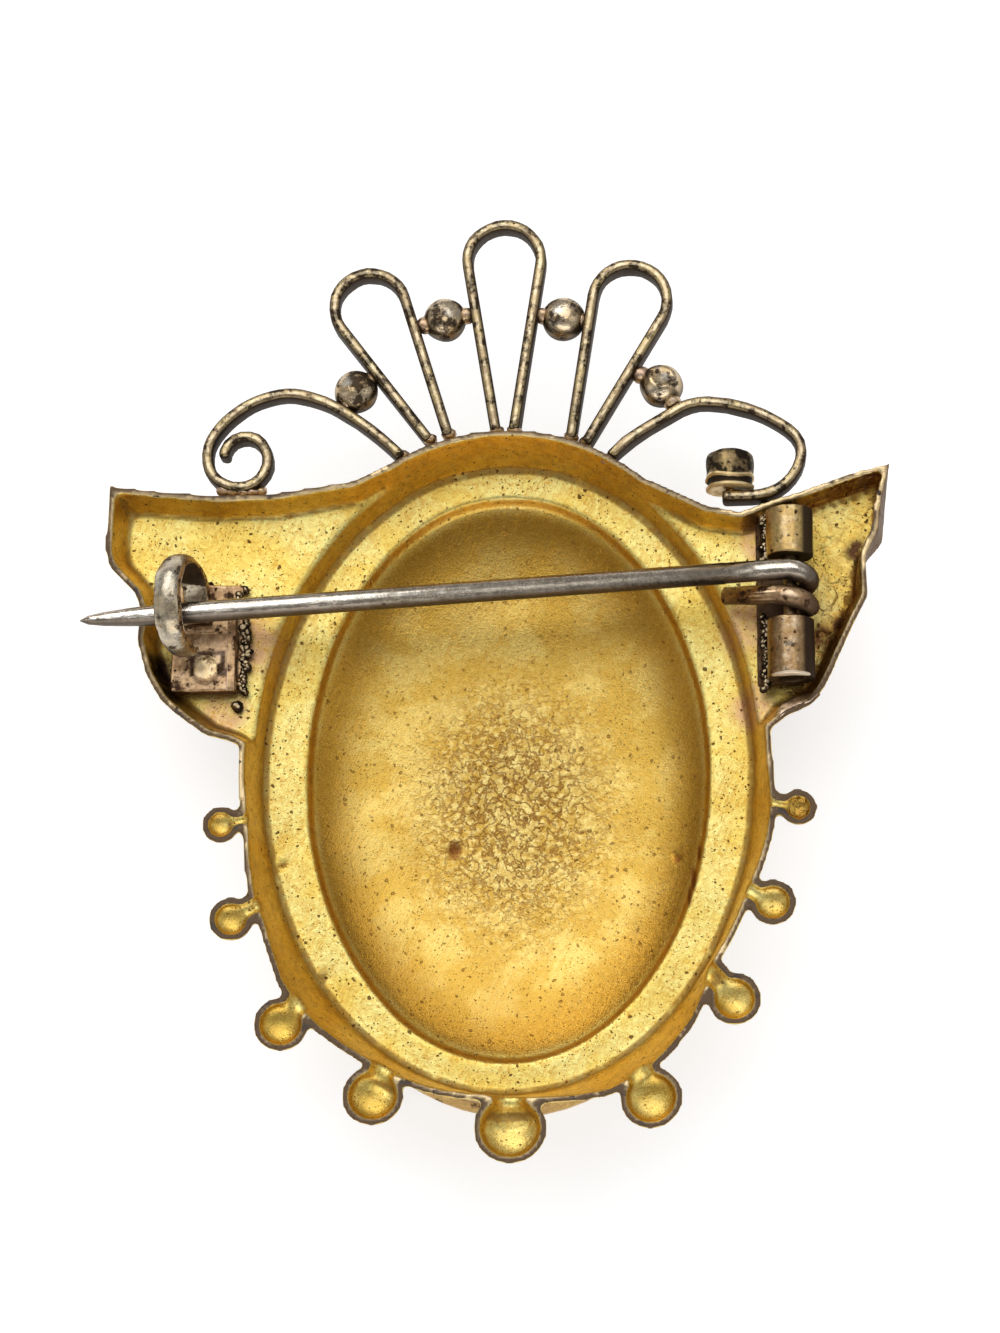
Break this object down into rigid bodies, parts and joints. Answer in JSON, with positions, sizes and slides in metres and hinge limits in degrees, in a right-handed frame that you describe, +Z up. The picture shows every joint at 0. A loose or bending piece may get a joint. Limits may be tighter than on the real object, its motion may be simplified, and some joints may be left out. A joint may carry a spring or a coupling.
{
  "type": "cameo brooch",
  "caption": "Oval cameo brooch in a thin stamped gilt shell with a wire crest, round beads along the edge, and a hinged pin with a hook catch on the back.",
  "frame": {"origin": "on the surface that the brooch lies on, under the middle of the whole brooch", "axes": "+Z up, out of the back with the pin; +Y towards the wire crest; +X towards the hinge"},
  "size_m": [0.0414, 0.0496, 0.0119],
  "materials": {
    "gilt_sheet": "bright gilt sheet, pitted and darker in its walls",
    "gilt_collar": "worn gilt",
    "gilt_wire": "tarnished gilt flat wire",
    "dark_ball": "dark tarnished ball",
    "dark_brass": "dark tarnished tube",
    "worn_brass": "worn tube and plate with dark solder",
    "steel": "grey drawn wire",
    "grey_catch": "grey-brown worn strip and block",
    "carved_stone": "polished two-layer cameo"
  },
  "bodies": {
    "brooch": {"shell": "gilt_sheet", "bezel": "gilt_collar", "cameo": "carved_stone", "stub": "dark_brass", "hinge": "worn_brass", "rivet": "steel", "catch": "grey_catch", "left_loop": "gilt_wire", "centre_loop": "gilt_wire", "right_loop": "gilt_wire", "left_scroll": "gilt_wire", "right_scroll": "gilt_wire", "ball_1": "dark_ball", "ball_2": "dark_ball", "ball_3": "dark_ball", "ball_4": "dark_ball"},
    "pin": {"pin": "steel"}
  },
  "joints": [
    {"name": "pin_swing", "type": "hinge", "parent": "brooch", "child": "pin", "pos_m": [0.01548, 0.00445, 0.00838], "axis": [0, 1, 0], "range_deg": [0, 150]}
  ]
}
